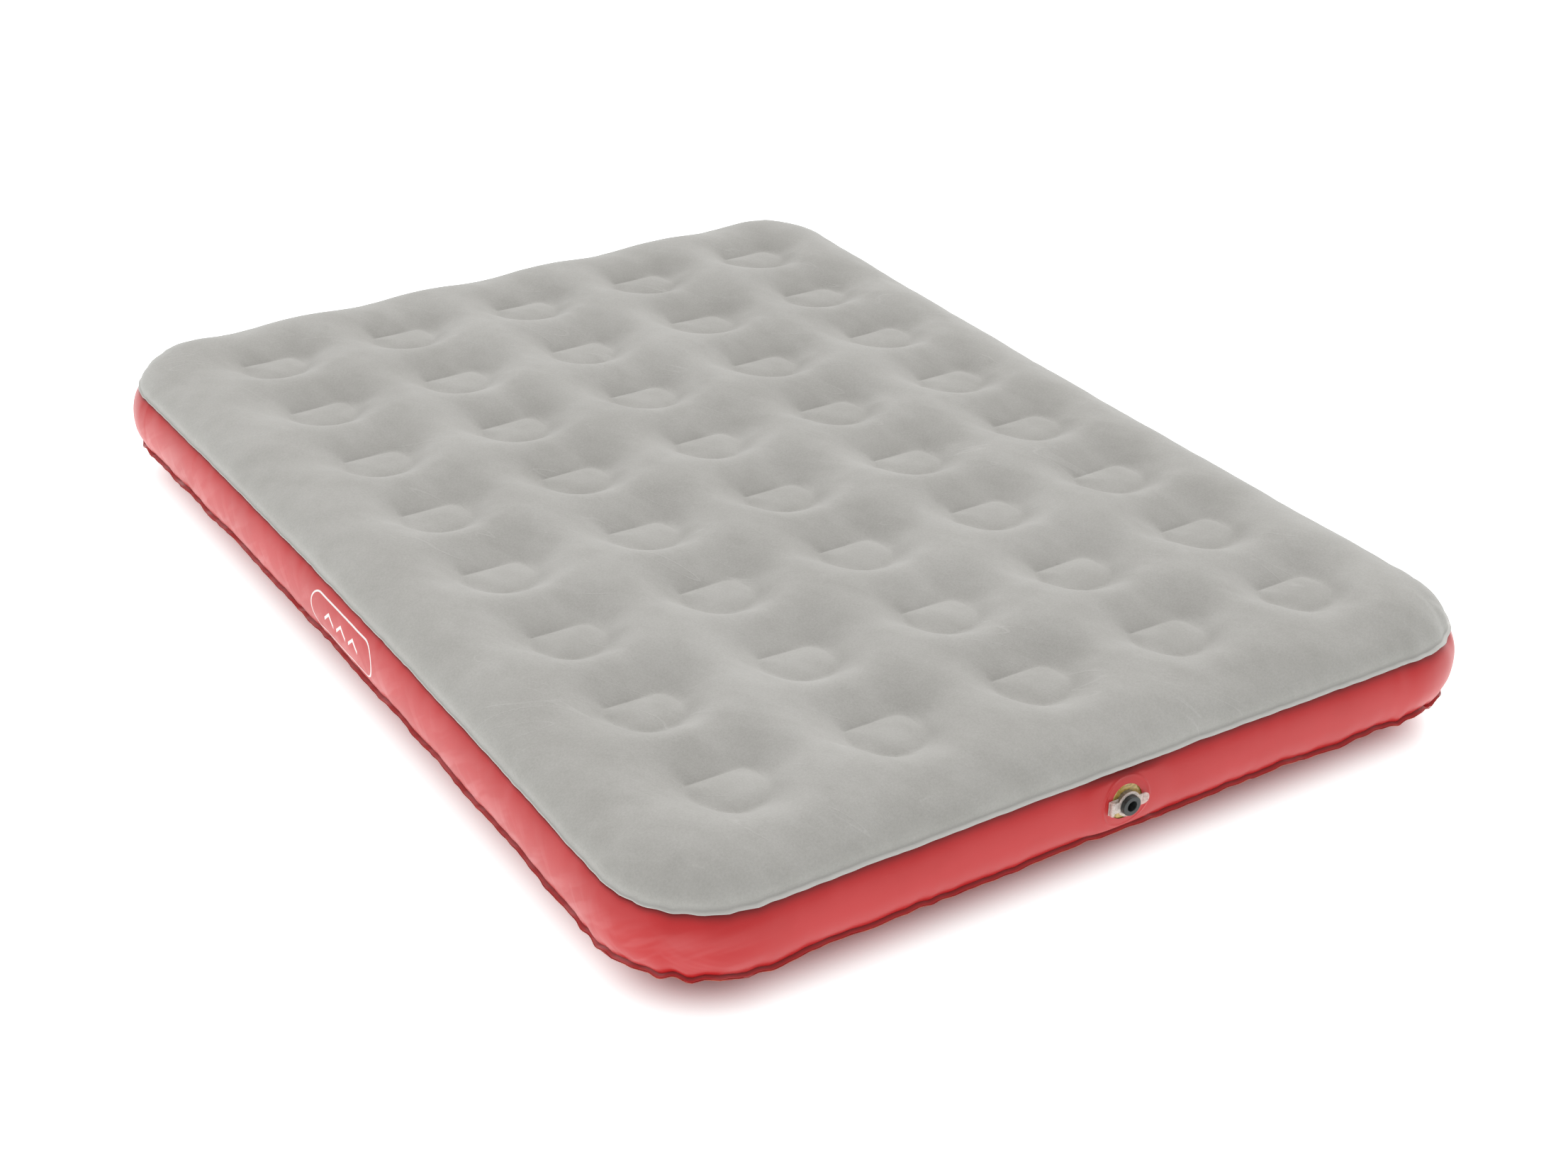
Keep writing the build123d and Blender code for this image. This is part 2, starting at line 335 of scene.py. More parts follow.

# %% [markdown]
# The wall is calendered vinyl: one strong red with a satin skin and a fine grain. The colour itself
# barely varies, and what the eye reads is the reflection: a broad pale sheen from the floor, broken low
# on the long left wall by slanting stretch marks, where a painted sheen makes the red paler and pinker.
# Beside a weld the film is in shadow, painted into its colour as a darker red. The
# printed badge is a white outline and three plain chevrons, worked out as distances on that wall.

# %% Red vinyl
BADGE_Y, BADGE_Z = -0.020, 0.110
BADGE_LENGTH, BADGE_HEIGHT = 0.218, 0.064
CHEVRON_STEP, CHEVRON_HALF = 0.042, 0.0155
VINYL_RED, WELD_SHADE_RED = (0.52, 0.011, 0.012), (0.13, 0.009, 0.010, 1)
STRETCH_SHEEN_PINK, PRINT_WHITE = (0.62, 0.20, 0.20, 1), (0.86, 0.84, 0.83, 1)


def badge_mask(tree, place):
    """White print on the left wall: a capsule outline round three chevrons."""
    x, y, z = axes(tree, place)
    along, above = y - BADGE_Y, z - BADGE_Z
    past_end = (abs(along) - (BADGE_LENGTH - BADGE_HEIGHT) / 2).most(0.0)
    reach = (past_end * past_end + above * above).math("SQRT")
    outline = 1 - abs(reach - (BADGE_HEIGHT / 2 - 0.003)).ramp(0.0011, 0.0017)
    chevrons = None
    for step in (-1, 0, 1):
        aside = abs(along - step * CHEVRON_STEP)
        slope = above + aside * 0.85 - 0.010
        end = 1 - aside.ramp(CHEVRON_HALF, CHEVRON_HALF + 0.0005)
        stroke = (1 - abs(slope).ramp(0.0026, 0.0032)) * end
        chevrons = stroke if chevrons is None else chevrons.most(stroke)
    left = 1 - (x + HALF_X * 0.9).ramp(-0.002, 0.002)
    return outline.most(chevrons) * left


def stretch_marks_and_sheen(tree, place):
    """Thin slanting streaks in two directions on the long left wall, strongest low down: real stretch
    marks in the bump, and a painted sheen in the colour.
    """
    x, _, z = axes(tree, place)
    marks = 0.0
    for turn, share in ((0.95, 0.75), (-0.70, 0.45)):
        streak = noise(tree, stretched(tree, place, (1.0, 44.0, 10.0), (turn, 0, 0)), 1.0, 2.0)
        marks = streak.ramp(0.47, 0.64) * share + marks
    low = 1 - z.ramp(BOTTOM_SEAM + 0.01, TOP_SEAM)
    left = 1 - (x + HALF_X - CORNER).ramp(-0.10, 0.02)
    return marks * low * left


def red_material(name, badge=False, dark=1.0):
    red = tuple(c * dark for c in VINYL_RED)
    material, tree, paint, place = new_material(
        name, red, 0.40, specular_ior_level=0.30, coat_roughness=0.30,
    )
    cloud = noise(tree, place, 9.0, 3.0).ramp(0.3, 0.7)
    grain = noise(tree, place, 1500.0, 1.0)
    marks = stretch_marks_and_sheen(tree, place) if badge else cloud * 0.1
    # On the left wall the stretch marks lighten the red towards pink: a painted sheen.
    tone = tree.mix(cloud * 0.4 + grain * 0.25 + marks * 0.5, (red[0] * 0.92, red[1], red[2], 1),
                    (red[0] * 1.10, red[1] * 3.0, red[2] * 3.0, 1))
    if badge:
        # Painted sheen: low on the long left wall the stretch marks are drawn pale pink, as the floor's
        # reflection would show them.
        tone = tree.mix(marks * 0.34, tone, STRETCH_SHEEN_PINK)
        printed = badge_mask(tree, place)
        worn = noise(tree, place, 700.0, 2.0).ramp(0.28, 0.40)
        tone = tree.mix(printed * (worn * 0.25 + 0.70), tone, PRINT_WHITE)
    # Painted shade: beside the welds, under the top lip and above the bottom flange, the red is drawn
    # towards a dark red.
    tone = tree.mix(attribute(tree, "weld") * 0.9, tone, WELD_SHADE_RED)
    paint(base_color=tone)
    paint(roughness=0.36 + cloud * 0.05 + marks * 0.10)
    paint(coat_weight=0.20 + marks * 0.30)
    paint(normal=bump(tree, grain * 0.10 + marks * 0.9, 0.0010, 0.5))
    return material


RED_WALL = red_material("red_vinyl_wall", badge=True)
RED_BASE = red_material("red_vinyl_base", dark=0.95)
print("made", RED_WALL.name, "and", RED_BASE.name)

# %% [markdown]
# The valve is moulded in soft clear vinyl that has yellowed a little. Light goes through it, so it is
# thin and partly transparent, with a gloss on top and faint cloudiness inside. The stopper is black
# plastic with a fine spark texture. The tubes inside the bed are plain milky vinyl.

# %% Clear, black and milky plastics
def clear_material(name, colour, haze, alpha):
    material, tree, paint, place = new_material(
        name, colour, 0.22, specular_ior_level=0.6, coat_roughness=0.12,
    )
    swirl = noise(tree, place, 120.0, 3.0, 0.6, 1.5).ramp(0.3, 0.75)
    fine = noise(tree, place, 900.0, 2.0)
    deep = tuple(c * haze for c in colour)
    paint(base_color=tree.mix(swirl, (*deep, 1), (*colour, 1)))
    paint(alpha=alpha + swirl * 0.18)
    paint(roughness=0.16 + fine * 0.18)
    paint(coat_weight=0.5 + swirl * 0.3)
    paint(normal=bump(tree, swirl * 0.6 + fine * 0.2, 0.0004, 0.5))
    return material


def black_material():
    material, tree, paint, place = new_material("black_stopper", (0.02, 0.024, 0.023), 0.42)
    spark = noise(tree, place, 2600.0, 2.0)
    wear = noise(tree, place, 260.0, 3.0).ramp(0.45, 0.8)
    paint(base_color=tree.mix(wear * 0.6 + spark * 0.2, (0.016, 0.020, 0.019, 1),
                              (0.050, 0.058, 0.055, 1)))
    paint(roughness=0.34 + wear * 0.16 + spark * 0.08)
    paint(normal=bump(tree, spark, 0.00012, 0.6))
    return material


def milky_material():
    material, tree, paint, place = new_material("milky_vinyl", (0.60, 0.60, 0.57), 0.45)
    cloud = noise(tree, place, 30.0, 3.0)
    grain = noise(tree, place, 1200.0, 1.0)
    paint(base_color=tree.mix(cloud, (0.50, 0.50, 0.47, 1), (0.68, 0.68, 0.65, 1)))
    paint(roughness=0.38 + grain * 0.15)
    paint(normal=bump(tree, grain, 0.0003, 0.4))
    return material


CLEAR_DISC = clear_material("clear_disc", (0.70, 0.47, 0.10), 0.60, 0.74)
CLEAR_STRAP = clear_material("clear_strap", (0.90, 0.78, 0.72), 0.80, 0.40)
CLEAR_NECK = clear_material("clear_neck", (0.42, 0.34, 0.24), 0.60, 0.60)
BLACK = black_material()
MILKY = milky_material()
print("made the valve's plastics")

# %% [markdown]
# The top sheet needs points where its shape turns quickly: closest at each dimple's crease, close
# together over each tube and at the seam, and further apart between. So the mesh starts as a plain grid
# whose lines are graded, instead of one even fine grid that would waste most of its faces. The grid's
# four square corners are then bent into round ones, each as a square laid onto a quarter disc.

# %% Graded grid
EDGE_STEPS = np.array([0, 1.2, 3, 5.5, 9, 13.5, 19, 26, 34, 43, 53, 64, 76, 89, 103, 118, 134]) * MM
CREASE_STEPS = np.array([-6, -4.2, -2.8, -1.6, -0.7, 0, 0.7, 1.6, 2.8, 4.2, 6]) * MM
CREASE_CLEAR = 7 * MM    # no other grid line lies this near a crease
FINE_ROUND, FINE_FLAT = 0.056, 0.036    # how far the fine lines reach from a tube's middle


def graded_lines(half, fine_zones, fine_step, coarse_step, edge_steps, keen=()):
    """Grid lines from -half to half: graded in from both edges, close in the fine zones, wide between.

    Round each keen place, such as a crease, a few lines lie closer still."""
    lines = [-half + edge_steps, half - edge_steps]
    stops = [-half + edge_steps[-1]]
    for low, high in fine_zones:
        stops += [low, high]
    stops.append(half - edge_steps[-1])
    for index, (low, high) in enumerate(zip(stops[:-1], stops[1:])):
        step = fine_step if index % 2 else coarse_step
        count = max(1, math.ceil((high - low) / step))
        lines.append(np.linspace(low, high, count + 1))
    lines = np.concatenate(lines)
    for place in keen:
        lines = np.append(lines[np.abs(lines - place) > CREASE_CLEAR], place + CREASE_STEPS)
    return np.unique(np.round(lines, 6))


def bed_grid(fine_step, coarse_step, edge_steps):
    """Graded grid lines across and along the bed."""
    across = graded_lines(
        HALF_X, [(x - FINE_ROUND, x + FINE_ROUND) for x in columns], fine_step, coarse_step,
        edge_steps)
    along = graded_lines(
        HALF_Y, [(y - FINE_ROUND, y + FINE_FLAT) for y in rows], fine_step, coarse_step,
        edge_steps, [y + TUBE_FLAT for y in rows])
    return across, along


def round_corners(x, y):
    """Bend the square corners of a rectangle of points into quarter discs."""
    a = np.clip((np.abs(x) - (HALF_X - CORNER)) / CORNER, 0, 1)
    b = np.clip((np.abs(y) - (HALF_Y - CORNER)) / CORNER, 0, 1)
    radius = np.maximum(a, b)
    share = np.minimum(a, b) / np.maximum(radius, 1e-9)
    turn = np.where(a >= b, share, 2 - share) * math.pi / 4
    corner = (a > 0) & (b > 0)
    round_x = HALF_X - CORNER + CORNER * radius * np.cos(turn)
    round_y = HALF_Y - CORNER + CORNER * radius * np.sin(turn)
    return (np.where(corner, np.sign(x) * round_x, x), np.where(corner, np.sign(y) * round_y, y))


def bow_sides(x, y):
    """Draw the middles of the sides inwards, as the air pressure does, and leave the tubes in place."""
    reach_x = np.clip((np.abs(x) / HALF_X - 0.76) / 0.24, 0, 1)
    reach_y = np.clip((np.abs(y) / HALF_Y - 0.82) / 0.18, 0, 1)
    pull_x = BOW_X * (1 - (y / HALF_Y) ** 2) * reach_x ** 2
    pull_y = BOW_Y * (1 - (x / HALF_X) ** 2) * reach_y ** 2
    return x - np.sign(x) * pull_x, y - np.sign(y) * pull_y


across, along = bed_grid(4.2 * MM, 9.5 * MM, EDGE_STEPS)
print("grid of", len(across), "by", len(along), "lines")

# %% [markdown]
# A sheet that is welded round a D-shaped tube and blown up rises from the weld in an arc, levels out
# half way to the next tube, and swells into a low dome inside the D. One number drives all of it: the
# distance from the D's outline, negative inside. Between tubes a soft minimum of the distances to all
# of them makes the shallow saddles. The tube's flat side lies towards the head, and its left corner is
# sharp while its right corner is drawn round, so each crease starts crisp and fades. The base follows
# the same rule upside down, with its edge tucked in under the bed.

# %% Height of the dimpled sheet
SWELL_REACH = 0.095
SWELL_SHARES = 0.57, 0.40, 0.03
RIGHT_BLEND = 0.009      # how softly the D's right corner is drawn
DOME_RISE, DOME_REACH = 6.5 * MM, 0.039
END_LIFT = 6 * MM        # how much higher the weld's arc is at its left and right than at its bottom
EDGE_SAG = 7 * MM        # how much lower the rounded edge is in line with a tube
ROLL_INSET = 0.165       # how far in from the seam the rounded edge reaches
TUCK_POWER = 1.6         # the base's edge goes in under the bed instead of straight down
WELD_MARGIN = 3 * MM     # the weld round a tube's own outline
WELD_RIGHT, WELD_FOOT = 3 * MM, 6 * MM
WELD_RADIUS = TUBE_RADIUS + WELD_MARGIN
COLUMN_PULL, ROW_PULL = 0.062, 0.058         # how wide a tube's pull on the edge is
PULL_AVERAGE, SIDE_SHARE = 0.45, 0.35
BAND_INSET, BAND_WIDTH = 0.055, 0.042


def fade_between(value, full, none):
    """1 at full and beyond it, 0 at none and beyond it, smooth between."""
    share = np.clip((none - value) / (none - full), 0, 1)
    return share * share * (3 - 2 * share)


def smooth_max(first, second, blend):
    """The larger of two numbers, rounded where they are nearly equal."""
    gap = np.clip(0.5 + 0.5 * (first - second) / blend, 0, 1)
    return second + (first - second) * gap + blend * gap * (1 - gap)


def weld_distance(x, y):
    """Distance to the D-shaped weld over one tube at the origin, negative inside it.

    The weld stands a little outside the tube, and towards the right and the foot. Outside it the sheet
    rises gently towards the head and steeply towards the foot, so distances are stretched to match."""
    aside, above = x - WELD_RIGHT, y + WELD_FOOT
    away = np.hypot(aside, above)
    arc, flat = away - WELD_RADIUS, y - TUBE_FLAT
    flat_above = TUBE_FLAT + WELD_FOOT
    corner = math.sqrt(WELD_RADIUS ** 2 - flat_above ** 2)
    past_corner = above * corner > np.abs(aside) * flat_above
    beyond = np.where(np.abs(aside) < corner, flat, np.hypot(np.abs(aside) - corner, flat))
    keen = np.where(past_corner & (flat > 0), beyond, np.maximum(arc, flat))
    right = fade_between(x, 0.045, 0.005)
    distance = keen + (smooth_max(arc, flat, RIGHT_BLEND) - keen) * right
    steepness = 1.08 - 0.27 * above / np.maximum(away, 1 * MM)
    outside = np.maximum(distance, 0) * steepness
    ease = 0.0005 + RIGHT_BLEND * right
    return np.where(distance > 0, np.sqrt(outside ** 2 + ease ** 2) - ease, distance)


def swell(distance):
    """Share of the dimple's depth that the sheet has risen at a distance outside the weld."""
    share = np.clip(distance / SWELL_REACH, 0, 1)
    even, early = np.sin(share * math.pi / 2), 1 - (1 - share) ** 2
    sharp = 1 - np.exp(-np.maximum(distance, 0) / 0.004)
    return SWELL_SHARES[0] * even + SWELL_SHARES[1] * early + SWELL_SHARES[2] * sharp


def seam_inset(x, y):
    """Distance in from the seam loop of the plain rounded rectangle."""
    a = np.abs(x) - (HALF_X - CORNER)
    b = np.abs(y) - (HALF_Y - CORNER)
    outside = np.hypot(np.maximum(a, 0), np.maximum(b, 0))
    return CORNER - outside - np.minimum(np.maximum(a, b), 0)


def edge_sag(x, y):
    """How far a tube in line with it draws the rounded edge down, less the average."""
    inset_x, inset_y = HALF_X - np.abs(x), HALF_Y - np.abs(y)
    by_column = sum(np.exp(-((x - column) / COLUMN_PULL) ** 2) for column in columns)
    by_row = sum(np.exp(-((y - row) / ROW_PULL) ** 2) for row in rows)
    end_band = np.exp(-((inset_y - BAND_INSET) / BAND_WIDTH) ** 2) * (np.abs(x) < HALF_X - CORNER / 2)
    side_band = np.exp(-((inset_x - BAND_INSET) / BAND_WIDTH) ** 2) * (np.abs(y) < HALF_Y - CORNER / 2)
    return EDGE_SAG * ((by_column - PULL_AVERAGE) * end_band
                       + SIDE_SHARE * (by_row - PULL_AVERAGE) * side_band)


def dimpled_height(x, y, softness=0.014, tucked=False):
    """Height above the seam, and nearness to a weld, for points of the plain rounded rectangle."""
    total = np.zeros_like(x)
    nearest = np.full_like(x, 9.0)
    aside = np.zeros_like(x)
    for centre_x, centre_y in tube_centres:
        distance = weld_distance(x - centre_x, y - centre_y)
        total += np.exp(-np.clip(distance, -0.05, 9) / softness)
        closer = distance < nearest
        nearest = np.where(closer, distance, nearest)
        arc_side = fade_between(y - centre_y, -0.040, 0.028)
        share = np.clip((x - centre_x - WELD_RIGHT) / WELD_RADIUS, -1.25, 1.25)
        aside = np.where(closer, share * arc_side, aside)
    soft = -softness * np.log(total)
    inside = np.clip(-nearest / DOME_REACH, 0, 1)
    dome = DOME_RISE * (1 - (1 - inside) ** 2) * (1 - 0.8 * aside ** 2)
    left = 1 - np.clip(seam_inset(x, y) / ROLL_INSET, 0, 1)
    roll = 1 - left ** TUCK_POWER if tucked else np.sqrt(1 - left ** 2)
    weld = DIMPLE_DEPTH - END_LIFT * aside ** 2
    rise = SEAM_DROP * roll - weld * (1 - swell(soft)) + np.where(nearest < 0, dome, 0)
    rise -= edge_sag(x, y) * np.clip(seam_inset(x, y) / 0.02, 0, 1)
    return rise, np.exp(-np.abs(nearest) / 0.003)


# %% [markdown]
# Welding a flat sheet to a straight wall leaves more edge than the corners need, so the seams pucker:
# gently along the sides, more at the corners, and with a few sharp nips. All skins share one seam loop
# with one set of waves, which is why they stay together. The waves are sums of sines in the distance
# along the loop, with fixed random phases, so that they close on themselves.

# %% Seam loop and its puckers
def wave(along_loop, total, lengths, seed):
    """A smooth random wave about zero along a closed loop."""
    chance = np.random.default_rng(seed)
    result = np.zeros_like(along_loop)
    for length in lengths:
        turns = max(1, round(total / length))
        result += np.sin(2 * math.pi * turns * along_loop / total + chance.uniform(0, 2 * math.pi))
    return result / math.sqrt(len(lengths))


def nips(along_loop, total, count, width, seed):
    """A few narrow pinches at random places along a closed loop."""
    chance = np.random.default_rng(seed)
    result = np.zeros_like(along_loop)
    for _ in range(count):
        middle, sign = chance.uniform(0, total), chance.choice([-1.0, 1.0])
        gap = (along_loop - middle + total / 2) % total - total / 2
        size = sign * chance.uniform(0.5, 1.0)
        result += size * np.exp(-(gap / (width * chance.uniform(0.6, 1.4))) ** 2)
    return result


def grid_boundary(count_x, count_y):
    """Indices of a grid's boundary points, anticlockwise from its low corner."""
    low = [i * count_y for i in range(count_x)]
    right = [(count_x - 1) * count_y + j for j in range(1, count_y)]
    high = [i * count_y + count_y - 1 for i in range(count_x - 2, -1, -1)]
    left = [j for j in range(count_y - 2, 0, -1)]
    return np.array(low + right + high + left)


class SeamLoop:
    """The bowed seam: its points, its outward directions, its length and its puckers."""

    def __init__(self, across, along):
        x, y = np.meshgrid(across, along, indexing="ij")
        self.index = grid_boundary(len(across), len(along))
        plain_x, plain_y = round_corners(x.ravel()[self.index], y.ravel()[self.index])
        self.x, self.y = bow_sides(plain_x, plain_y)
        step_x = np.roll(self.x, -1) - np.roll(self.x, 1)
        step_y = np.roll(self.y, -1) - np.roll(self.y, 1)
        size = np.hypot(step_x, step_y)
        self.out_x, self.out_y = step_y / size, -step_x / size
        steps = np.hypot(np.roll(self.x, -1) - self.x, np.roll(self.y, -1) - self.y)
        self.total = steps.sum()
        self.along = np.concatenate([[0], np.cumsum(steps)[:-1]])
        corner = (np.abs(plain_x) > HALF_X - CORNER) & (np.abs(plain_y) > HALF_Y - CORNER)
        window = np.hanning(61)
        smooth = np.convolve(np.tile(corner.astype(float), 3), window / window.sum(), "same")
        self.corner = smooth[len(corner):2 * len(corner)]
        self.top_lift = self._pucker(1, 0.9, 0.35, 30, 0.007)
        self.base_lift = self._pucker(2, 2.3, 0.7, 60, 0.010)
        self.top_push = self._pucker(3, 0.8, 0.35, 30, 0.007)
        self.base_push = self._pucker(4, 1.5, 0.8, 60, 0.010)
        self.lip = LIP * (0.35 + 0.65 * self.out_y ** 2)

    def _pucker(self, seed, size, slow, count, width):
        gentle = wave(self.along, self.total, (0.31, 0.19, 0.13, 0.085), seed)
        tight = wave(self.along, self.total, (0.061, 0.047, 0.034), seed + 20)
        sharp = nips(self.along, self.total, count, width, seed + 40)
        return size * MM * (slow * gentle + (0.25 + 1.0 * self.corner) * tight
                            + (1.0 + 1.6 * self.corner) * sharp)


loop = SeamLoop(across, along)
print("seam loop of", len(loop.x), "points,", round(loop.total, 3), "m long")

# %% [markdown]
# A skin is a list of rings that share one loop. `ring` gives one ring's points from its distance out of
# the seam and its height, and `stitch` joins neighbouring rings with four-sided faces. The same two
# helpers build the wall, and the turned-in edges of the two sheets.

# %% Mesh helpers
def ring(loop, out, height):
    """One ring of points, at a distance out of the seam and a height, each a number or one per point."""
    return np.column_stack([
        loop.x + loop.out_x * out, loop.y + loop.out_y * out, np.broadcast_to(height, loop.x.shape),
    ])


def stitch(first, second):
    """Faces between two closed rings of point indices."""
    return np.column_stack([first, np.roll(first, -1), np.roll(second, -1), second])


def tube_faces(count, rings, downwards=False):
    """Faces of a tube of rings with the same count of points, which run upwards or downwards."""
    levels = [np.arange(count) + n * count for n in range(rings)]
    pairs = zip(levels[1:], levels) if downwards else zip(levels, levels[1:])
    return np.vstack([stitch(first, second) for first, second in pairs])


def edged_sheet(points, faces, edge, rings, upwards):
    """A sheet's points and faces, with further rings stitched on round its edge."""
    faces, inner = [faces], edge
    for number in range(len(rings)):
        outer = len(points) + number * len(edge) + np.arange(len(edge))
        faces.append(stitch(outer, inner) if upwards else stitch(inner, outer))
        inner = outer
    return np.vstack([points, *rings]), np.vstack(faces)


def smooth_faces(mesh):
    """Shade every face smoothly."""
    mesh.polygons.foreach_set("use_smooth", np.ones(len(mesh.polygons), bool))


def mesh_object(name, points, faces, material, marks=None):
    """A smooth mesh object from arrays, with its material and its point attributes."""
    mesh = bpy.data.meshes.new(name)
    mesh.from_pydata(points.tolist(), [], faces.tolist())
    for label, values in (marks or {}).items():
        numbers = mesh.attributes.new(label, "FLOAT", "POINT").data
        numbers.foreach_set("value", values.astype(np.float32))
    smooth_faces(mesh)
    mesh.materials.append(material)
    mesh.update()
    piece = put(name, mesh)
    print(name, len(mesh.vertices), "points", len(mesh.polygons), "faces")
    return piece


def grid_faces(count_x, count_y):
    """Four-sided faces of a grid of points, facing up."""
    i, j = np.meshgrid(np.arange(count_x - 1), np.arange(count_y - 1), indexing="ij")
    corner = (i * count_y + j).ravel()
    return np.column_stack([corner, corner + count_y, corner + count_y + 1, corner + 1])


# %% [markdown]
# The air holds the whole bed up. When the top sinks, every skin must get lower together, or the dimples
# would fall through the base. Here each skin is only attached to its body, the base or the top, and
# given a mesh of its own.


def on_base(piece):
    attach(piece, "base")
    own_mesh(piece)


def on_top(piece):
    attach(piece, "top")
    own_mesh(piece)


# %% [markdown]
# The top sheet is the grid lifted to its height, with low random undulations and with the seam's
# puckers fading inwards from the edge. Two further rings turn the sheet into its welded lip.

# %% Top sheet
FADE = 0.030             # how far the puckers run into the sheet
EDGE_REACH = 0.15        # how far in they are looked up
UNDULATIONS, UNDULATION_RISE = 14, 0.00035


def sheet_points(across, along, loop, lift, push, seed, tucked=False):
    """Points of a dimpled sheet above its seam: places, rise and nearness to welds."""
    x, y = (grid.ravel() for grid in np.meshgrid(across, along, indexing="ij"))
    x, y = round_corners(x, y)
    rise, valley = dimpled_height(x, y, tucked=tucked)
    inset = seam_inset(x, y)
    bowed_x, bowed_y = bow_sides(x, y)
    chance = np.random.default_rng(seed)
    for _ in range(UNDULATIONS):
        heading, length = chance.uniform(0, math.pi), chance.uniform(0.10, 0.45)
        phase = (x * math.cos(heading) + y * math.sin(heading)) * 2 * math.pi / length
        rise += UNDULATION_RISE * np.sin(phase + chance.uniform(0, 6.3)) * np.clip(inset / 0.05, 0, 1)
    nearest = nearest_on_loop(bowed_x, bowed_y, inset, loop)
    fade = np.exp(-inset / FADE) * (inset < EDGE_REACH)
    rise += lift[nearest] * fade
    bowed_x = bowed_x + loop.out_x[nearest] * push[nearest] * fade
    bowed_y = bowed_y + loop.out_y[nearest] * push[nearest] * fade
    return bowed_x, bowed_y, rise, valley


def nearest_on_loop(x, y, inset, loop):
    """For each point near the edge, the nearest point of the seam loop."""
    result = np.zeros(len(x), int)
    near = np.flatnonzero(inset < EDGE_REACH)
    for start in range(0, len(near), 4000):
        part = near[start:start + 4000]
        gap = (x[part, None] - loop.x) ** 2 + (y[part, None] - loop.y) ** 2
        result[part] = gap.argmin(axis=1)
    return result


def make_top_sheet():
    x, y, rise, valley = sheet_points(across, along, loop, loop.top_lift, loop.top_push, 7)
    z = TOP_SEAM + SHEET_LIFT + rise
    edge = loop.index
    seam_z, push = z[edge], loop.top_push
    droop = seam_z - 0.12 * loop.lip
    rings = [ring(loop, push + out, height) for out, height in (
        (0.3 * loop.lip, seam_z - 0.3 * MM), (0.9 * loop.lip, droop), (loop.lip, droop - 0.6 * MM),
        (0.9 * loop.lip, droop - 1.2 * MM), (-3 * MM, seam_z - 1.3 * MM))]
    points, faces = edged_sheet(np.column_stack([x, y, z]), grid_faces(len(across), len(along)),
                                edge, rings, upwards=True)
    on_rings = np.ones(len(edge) * len(rings))
    lip = np.concatenate([np.zeros(len(x)), on_rings])
    lip[edge] = 0.5
    marks = {"lip": lip, "valley": np.concatenate([valley, 0 * on_rings])}
    return mesh_object("top_skin", points, faces, FLOCK, marks)


top_skin = make_top_sheet()
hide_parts("top_sheet")
on_top(top_skin)

# %% [markdown]
# The wall is one band welded between two lips. Air blows it out between the seams, a little more at the
# round corners. Close to each seam the puckers run into it. It also carries a number for painted shade:
# high beside a weld, where the wall's colour is painted darker, and reaching further where the wide lip
# shades it.

# %% Side wall
WALL_ROWS = 34
BULGE, CORNER_BULGE = 15 * MM, 3 * MM
PUCKER_RUN = 7           # how quickly a pucker dies away down the wall
FLANGE = 0.85 * LIP


def wall_profile(share):
    """How full the wall's swell is, from the top seam at 0 to the bottom seam at 1."""
    return (1 - np.abs(2 * share - 1) ** 2.2) ** 0.9


def make_side_wall():
    """Points, faces and painted weld shade of the band between the two lips."""
    lip_top = TOP_SEAM + loop.top_lift - 0.2 * MM
    lip_base = BOTTOM_SEAM + loop.base_lift + 0.2 * MM
    under = lip_top - 0.12 * loop.lip - 1.4 * MM
    rings = [ring(loop, loop.top_push - 2 * MM, lip_top),
             ring(loop, loop.top_push - 1 * MM, lip_top - 2.5 * MM)]
    # The two rings under the top lip are wholly in painted shade.
    weld = [np.ones_like(loop.x)] * 2
    hidden = 0.028 + 0.057 * loop.out_y ** 2
    for number in range(WALL_ROWS + 1):
        share = number / WALL_ROWS
        height = under + (lip_base + 1.3 * MM - under) * share
        full = wall_profile(share)
        swellout = (BULGE + CORNER_BULGE * loop.corner) * full
        near_top, near_base = math.exp(-share * PUCKER_RUN), math.exp(-(1 - share) * PUCKER_RUN)
        pucker = loop.top_push * near_top + loop.base_push * near_base
        tight = 1.6 * MM * loop.corner * wave(loop.along, loop.total, (0.05, 0.037, 0.028), 31)
        rings.append(ring(loop, swellout + pucker + tight * (near_top + near_base) * full, height))
        # Painted shade: high under the top lip, reaching further where the lip is wide, and in a thin
        # band above the bottom flange.
        weld.append(np.exp(-(share / hidden) ** 2) + 0.6 * math.exp(-((1 - share) / 0.020) ** 2))
    rings += [ring(loop, loop.base_push + FLANGE, lip_base + 1.2 * MM),
              ring(loop, loop.base_push + FLANGE, lip_base),
              ring(loop, loop.base_push - 2 * MM, lip_base)]
    weld += [np.zeros_like(loop.x)] * 3
    return np.vstack(rings), tube_faces(len(loop.x), len(rings), True), np.concatenate(weld)


wall_points, wall_faces, wall_weld_shade = make_side_wall()
print("wall rings", len(wall_points) // len(loop.x))

# %% [markdown]
# Round the valve the wall is drawn flat against the clear disc that is welded behind it, and the weld
# shows as a faint raised ring. The faces there are too long to hold a round window, so they are divided
# first. Faces inside the window are then deleted, and the points left on its rim are slid onto a true
# circle.

